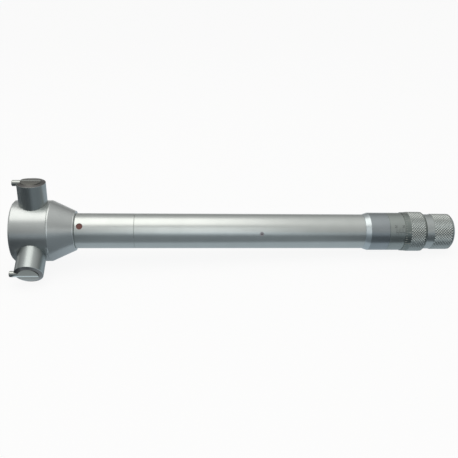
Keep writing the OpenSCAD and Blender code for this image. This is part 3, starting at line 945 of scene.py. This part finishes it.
@dataclass
class ThimbleSet:
    """Thimble with its graduated bevel, and the spindle that it turns.

    Attributes:
        divisions: Graduations round the bevel.
        figure_every: Graduations between two figures.
        bevel_mm: Length of the bevel along the axis.
        edge_mm: Radius of the bevel's front edge.
        land_mm: Radius of the bevel's rear end.
        line_mm: Width of a line.
        short_mm: Length of a plain graduation.
        long_mm: Length of a graduation with a figure.
        figure_mm: Height of the figures.
        zero_angle: Place of the zero line round the bevel, in degrees.
        bevel_colour: Colour of the bevel, darker than the knurl behind it.
        groove_colour: Colour of the painted shade in the knurl's grooves.
        engraving: How the marks are cut.
    """

    divisions: int = 50
    figure_every: int = 5
    bevel_mm: float = 3.8
    edge_mm: float = 12.75
    land_mm: float = 13.05
    line_mm: float = 0.22
    short_mm: float = 1.3
    long_mm: float = 1.7
    figure_mm: float = 1.5
    zero_angle: float = 158.0
    bevel_colour: str = "#858d89"
    # Painted shade in the knurl's grooves
    groove_colour: str = "#989e9a"
    engraving: Engraving = field(default_factory=Engraving)

    def dress(self) -> None:
        """Dresses the thimble and the spindle."""
        bevel_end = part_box("thimble")[0].x + self.bevel_mm * MM
        finish = knurled_chrome("thimble", bevel_end, self.bevel_colour, self.groove_colour)
        dress(["thimble"], finish.build())
        dress(["spindle"], GROUND_STEEL.build())

    def slope(self) -> float:
        """Gives the bevel's angle to the axis, in radians."""
        return math.atan2(self.land_mm - self.edge_mm, self.bevel_mm)

    def on_bevel(self, angle: float, along_mm: float) -> Matrix:
        """Gives a place on the bevel.

        Args:
            angle: Angle about the axis, in degrees.
            along_mm: Distance behind the front edge.

        Returns:
            Matrix of the place, with +Z outwards.
        """
        radius = self.edge_mm + along_mm * math.tan(self.slope())
        return around_axis(angle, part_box("thimble")[0].x + along_mm * MM, radius * MM)

    def build(self) -> None:
        """Cuts the graduations and the figures of the bevel."""
        lines, figures = bmesh.new(), bmesh.new()
        for k in range(self.divisions):
            angle = self.zero_angle + 360 * k / self.divisions
            numbered = k % self.figure_every == 0
            length = self.long_mm if numbered else self.short_mm
            self.engraving.line_along(
                lines, self.on_bevel(angle, length / 2), self.slope(), length * MM, self.line_mm * MM
            )
            if numbered:
                place = self.on_bevel(angle, (self.long_mm + self.bevel_mm) / 2)
                tilt = Matrix.Rotation(-self.slope(), 4, "Y")
                height, radius = self.figure_mm * MM, self.land_mm * MM
                self.engraving.figure(figures, str(k), place @ tilt, height, radius)
        fill = PALE_FILL.build()
        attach(made_piece("thimble_graduations", lines, fill), "thimble_set")
        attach(made_piece("thimble_figures", figures, fill), "thimble_set")


@dataclass
class RatchetSet:
    """Ratchet barrel with the clutch inside it.

    Attributes:
        plain_mm: Length of the barrel's plain front.
        plain_colour: Colour of that front.
        groove_colour: Colour of the painted shade in the knurl's grooves.
        clutch: Nodes of the clutch.
    """

    plain_mm: float = 5.1
    plain_colour: str = "#b4bab8"
    # Painted shade in the knurl's grooves
    groove_colour: str = "#a2a8a4"
    clutch: list[str] = field(default_factory=lambda: ["ratchet_wheel", "ratchet_driver", "ratchet_screw"])

    def dress(self) -> None:
        """Dresses the barrel and the clutch."""
        knurl_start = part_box("ratchet_barrel")[0].x + self.plain_mm * MM
        finish = knurled_chrome("ratchet_barrel", knurl_start, self.plain_colour, self.groove_colour)
        dress(["ratchet_barrel"], finish.build())
        dress(self.clutch, GROUND_STEEL.build())
        dress(["ratchet_spring"], SPRING_WIRE.build())


@dataclass(frozen=True)
class Softbox:
    """A broad even lamp that the camera doesn't see.

    Attributes:
        name: Name of the lamp.
        place: Its middle, in metres.
        width: Its width, in metres.
        height: Its height, in metres.
        brightness: Brightness of its face, where 1 renders white.
        colour: Colour of its light.
    """

    name: str
    place: tuple[float, float, float]
    width: float
    height: float
    brightness: float
    colour: str = "#ffffff"

    def hang(self) -> None:
        """Hangs the lamp so that it faces the middle of the object."""
        lamp = bpy.data.lights.new(self.name, "AREA")
        lamp.shape = "RECTANGLE"
        lamp.color = linear_colour(self.colour)[:3]
        lamp.size = self.width
        lamp.size_y = self.height
        lamp.energy = self.brightness * math.pi * self.width * self.height
        hung = bpy.data.objects.new(self.name, lamp)
        place = Vector(self.place)
        facing = (axis_point() - place).to_track_quat("-Z", "Y").to_matrix().to_4x4()
        hung.matrix_world = Matrix.Translation(place) @ facing
        hung.visible_camera = False
        bpy.context.scene.collection.objects.link(hung)


@dataclass(frozen=True)
class Flag:
    """A card on the floor or standing on it, which only the metal's reflections see: a glowing painted
    reflection.

    Attributes:
        name: Name of the card.
        middle: Its middle over the floor, in metres.
        width: Its width, in metres.
        height: Its height or depth, in metres.
        brightness: Brightness of its face, where 1 renders white.
        left_brightness: Brightness of its left end.
        grade: Where its brightness leaves the left end's and reaches the rest's, along X in metres.
        standing: Whether it stands upright.
        colour: Colour of its face.
    """

    name: str
    middle: tuple[float, float, float]
    width: float
    height: float
    brightness: float
    left_brightness: float
    grade: tuple[float, float] = (-0.15, -0.1)
    standing: bool = False
    colour: str = "#e9f5ff"

    def put(self, floor: Matrix) -> None:
        """Puts the card in its place.

        Args:
            floor: Place of the floor, with +Z upwards.
        """
        material = bpy.data.materials.new(self.name)
        material.use_nodes = True
        tree = material.node_tree
        where = add_node(tree, "ShaderNodeTexCoord", {}).outputs["Object"]
        split = add_node(tree, "ShaderNodeSeparateXYZ", {"Vector": where})
        graded = add_node(
            tree,
            "ShaderNodeMapRange",
            {
                "Value": split.outputs["X"],
                "From Min": self.grade[0],
                "From Max": self.grade[1],
                "To Min": self.left_brightness,
                "To Max": self.brightness,
            },
        )
        # The card's face glows at a set brightness that no lamp gives it: a painted reflection
        face = add_node(
            tree,
            "ShaderNodeEmission",
            {"Color": linear_colour(self.colour), "Strength": graded.outputs["Result"]},
        )
        tree.links.new(face.outputs["Emission"], tree.nodes["Material Output"].inputs["Surface"])
        turned = Matrix.Rotation(math.radians(90 if self.standing else 0), 4, "X")
        shape = Matrix.Diagonal((self.width, self.height, 1.0, 1.0))
        card = studio_panel(self.name, floor @ Matrix.Translation(self.middle) @ turned @ shape, material)
        for ray in ("camera", "diffuse", "transmission", "volume_scatter", "shadow"):
            setattr(card, f"visible_{ray}", False)


def studio_panel(name: str, place: Matrix, material: bpy.types.Material) -> bpy.types.Object:
    """Makes a flat panel of the studio.

    Args:
        name: Name of the panel.
        place: Matrix that brings a square of one metre to the panel's size and place.
        material: Material of the panel.

    Returns:
        The panel.
    """
    bm = bmesh.new()
    made = bmesh.ops.create_grid(bm, x_segments=1, y_segments=1, size=0.5)["verts"]
    bmesh.ops.transform(bm, matrix=place, verts=made)
    mesh = bpy.data.meshes.new(name)
    bm.to_mesh(mesh)
    bm.free()
    mesh.materials.append(material)
    panel = bpy.data.objects.new(name, mesh)
    bpy.context.scene.collection.objects.link(panel)
    return panel


@dataclass
class Studio:
    """Pale floor, soft light and the camera.

    Attributes:
        floor_m: Side of the floor.
        floor_colour: Colour of the floor.
        floor_roughness: Roughness of the floor.
        floor_white: Share of the floor's own white, over what the lamps give it.
        room_colour: Colour of the room round it, and of the floor's own white.
        room_level: Brightness of the room's walls.
        ceiling_level: Brightness that the ceiling adds.
        ceiling_span: Heights, as sines, between which the ceiling's brightness sets in.
        horizon_level: Brightness that the foot of the walls adds.
        horizon_span: Heights, as sines, between which that brightness fades.
        left_gain: Brightness of the room's left side, as a share.
        right_gain: Brightness of its right side, as a share.
        side_span: Directions along X, as sines, between which the left side passes into the right.
        lamps: The softboxes.
        flags: The cards round the object, painted reflections that only the metal sees.
        camera_yaw: Turn of the view to the right, in radians.
        camera_roll: Turn of the camera about its line of sight, in radians.
        camera_elevation: Angle that the camera looks down, in degrees.
        camera_distance_mm: Distance from the camera to the axis.
        aim_mm: Place on the axis at the middle of the picture, along X.
        rise_mm: How far the camera stands above the line of the aim.
        focal_px: Focal length in pixels of the picture.
        picture_px: Side of the picture.
        clip_m: Distance from the camera at which its view begins.
    """

    floor_m: float = 12.0
    floor_colour: str = "#f4f4f2"
    floor_roughness: float = 0.9
    floor_white: float = 0.9
    room_colour: str = "#ffffff"
    room_level: float = 0.36
    ceiling_level: float = 0.5
    ceiling_span: tuple[float, float] = (0.4, 1.0)
    horizon_level: float = 0.3
    horizon_span: tuple[float, float] = (0.05, 0.2)
    left_gain: float = 1.0
    right_gain: float = 0.95
    side_span: tuple[float, float] = (-0.6, 0.6)
    lamps: tuple[Softbox, ...] = (
        Softbox("ceiling_softbox", (-0.18, 0.0, 0.8), 0.8, 0.6, 1.08, "#fffbf7"),
        Softbox("front_softbox", (-0.03, -0.55, 0.33), 0.27, 0.42, 0.88, "#f8fcff"),
        Softbox("side_softbox", (1.1, -1.44, 0.7), 0.7, 0.7, 0.42),
    )
    # Painted reflections: glowing cards at set levels that show only in the metal
    flags: tuple[Flag, ...] = (
        # Painted dark reflection of the floor in front, darker at its left end
        Flag("front_flag", (0.0, -0.3605, 0.0005), 1.2, 0.679, 0.28, 0.1),
        Flag("right_flag", (0.31, -0.3605, 0.0008), 0.5, 0.679, 0.14, 0.28, (0.06, 0.11)),
        Flag("front_screen", (-0.6, -0.7, 0.1), 4.2, 0.2, 0.46, 0.22, (-0.5, -0.28), standing=True),
        # Painted shadow: its left end darkens the floor under the head in reflections
        Flag("rear_flag", (0.0, 0.1895, 0.0005), 1.2, 0.421, 0.6, 0.16),
        Flag("middle_card", (0.05, -0.69, 0.13), 0.3, 0.26, 0.7, 0.7, standing=True),
        # Painted bright reflection of the floor under the lowest anvil's end
        Flag("foot_card", (-0.13, -0.033, 0.001), 0.022, 0.018, 1.1, 1.1),
    )
    camera_yaw: float = 0.0785
    camera_roll: float = 0.0022
    camera_elevation: float = 24.8
    camera_distance_mm: float = 390.0
    aim_mm: float = -5.95
    rise_mm: float = 1.3
    focal_px: float = 592.7
    picture_px: float = 458.0
    clip_m: float = 0.01

    def build(self) -> None:
        """Makes the floor, the light and the camera."""
        floor = self.floor_place()
        self.make_floor(floor)
        for flag in self.flags:
            flag.put(floor)
        self.make_world()
        for lamp in self.lamps:
            lamp.hang()
        self.make_camera()

    def floor_place(self) -> Matrix:
        """Gives the plane that the lowest anvil rim and the thimble's knurl both touch."""
        low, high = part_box("anvil_2")
        front = Vector(((low.x + high.x) / 2, 0.0, low.z))
        knurl_low, knurl_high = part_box("thimble")
        rear = Vector(((knurl_low.x + knurl_high.x) / 2, 0.0, knurl_low.z))
        tilt = math.atan2(rear.z - front.z, rear.x - front.x)
        turned = Matrix.Rotation(-tilt, 4, "Y")
        return Matrix.Translation(front) @ turned @ Matrix.Translation((-front.x, 0, 0))

    def make_floor(self, place: Matrix) -> None:
        """Lays the floor, which is white to the eye and in reflections but keeps the object's shadow.

        Args:
            place: Place of the floor, with +Z upwards.
        """
        material = bpy.data.materials.new("pale_floor")
        material.use_nodes = True
        tree = material.node_tree
        matt = tree.nodes["Principled BSDF"]
        matt.inputs["Base Color"].default_value = linear_colour(self.floor_colour)
        matt.inputs["Roughness"].default_value = self.floor_roughness
        matt.inputs["Specular IOR Level"].default_value = 0.0
        ray = add_node(tree, "ShaderNodeLightPath", {})
        seen = add_node(
            tree,
            "ShaderNodeMath",
            {0: ray.outputs["Is Camera Ray"], 1: ray.outputs["Is Glossy Ray"]},
            operation="ADD",
        )
        shown = add_node(
            tree,
            "ShaderNodeMath",
            {0: seen.outputs["Value"], 1: ray.outputs["Is Transmission Ray"]},
            operation="ADD",
            use_clamp=True,
        )
        share = add_node(
            tree, "ShaderNodeMath", {0: shown.outputs["Value"], 1: self.floor_white}, operation="MULTIPLY"
        )
        white = add_node(tree, "ShaderNodeEmission", {"Color": linear_colour(self.room_colour)})
        mixed = add_node(
            tree,
            "ShaderNodeMixShader",
            {
                0: share.outputs["Value"],
                1: matt.outputs["BSDF"],
                2: white.outputs["Emission"],
            },
        )
        tree.links.new(mixed.outputs["Shader"], tree.nodes["Material Output"].inputs["Surface"])
        studio_panel("floor", place @ Matrix.Scale(self.floor_m, 4), material)

    def make_world(self) -> None:
        """Surrounds the object with a pale room that is brighter above, low down and on the left."""
        world = bpy.data.worlds.new("room")
        bpy.context.scene.world = world
        world.use_nodes = True
        tree = world.node_tree
        sky = tree.nodes["Background"]
        sky.inputs["Color"].default_value = linear_colour(self.room_colour)
        way = add_node(tree, "ShaderNodeTexCoord", {}).outputs["Generated"]
        split = add_node(tree, "ShaderNodeSeparateXYZ", {"Vector": way})
        ceiling = add_node(
            tree,
            "ShaderNodeMapRange",
            {
                "Value": split.outputs["Z"],
                "From Min": self.ceiling_span[0],
                "From Max": self.ceiling_span[1],
                "To Min": self.room_level,
                "To Max": self.room_level + self.ceiling_level,
            },
        )
        horizon = add_node(
            tree,
            "ShaderNodeMapRange",
            {
                "Value": split.outputs["Z"],
                "From Min": self.horizon_span[0],
                "From Max": self.horizon_span[1],
                "To Min": self.horizon_level,
                "To Max": 0.0,
            },
        )
        upright = add_node(
            tree,
            "ShaderNodeMath",
            {0: ceiling.outputs["Result"], 1: horizon.outputs["Result"]},
            operation="ADD",
        )
        side = add_node(
            tree,
            "ShaderNodeMapRange",
            {
                "Value": split.outputs["X"],
                "From Min": self.side_span[0],
                "From Max": self.side_span[1],
                "To Min": self.left_gain,
                "To Max": self.right_gain,
            },
        )
        level = add_node(
            tree,
            "ShaderNodeMath",
            {0: upright.outputs["Value"], 1: side.outputs["Result"]},
            operation="MULTIPLY",
        )
        tree.links.new(level.outputs["Value"], sky.inputs["Strength"])

    def make_camera(self) -> None:
        """Puts the camera at the photograph's viewing angle."""
        yaw, drop = self.camera_yaw, math.radians(self.camera_elevation)
        look = Vector(
            (math.sin(yaw), math.cos(yaw) * math.cos(drop), -math.cos(yaw) * math.sin(drop))
        )
        up = Vector((0.0, math.sin(drop), math.cos(drop)))
        right = look.cross(up)
        aim = axis_point() + Vector((self.aim_mm * MM, 0.0, 0.0))
        place = aim - look * self.camera_distance_mm * MM + up * self.rise_mm * MM
        data = bpy.data.cameras.new("camera")
        data.lens = self.focal_px / self.picture_px * data.sensor_width
        data.clip_start = self.clip_m
        camera = bpy.data.objects.new("camera", data)
        turned = Matrix((right, up, -look)).transposed().to_4x4()
        rolled = Matrix.Rotation(self.camera_roll, 4, "Z")
        camera.matrix_world = Matrix.Translation(place) @ turned @ rolled
        bpy.context.scene.collection.objects.link(camera)
        bpy.context.scene.camera = camera


def main() -> None:
    """Builds and dresses the sub-assemblies, then the studio."""
    logging.basicConfig(level=logging.INFO, format="%(name)s: %(message)s")
    bpy.context.scene.view_settings.view_transform = "Standard"
    parts = (MeasuringHead(), TubeSet(), ScaleSleeve(), ThimbleSet())
    for part in parts:
        part.dress()
        part.build()
    RatchetSet().dress()
    Studio().build()


if __name__ == "__main__":
    main()
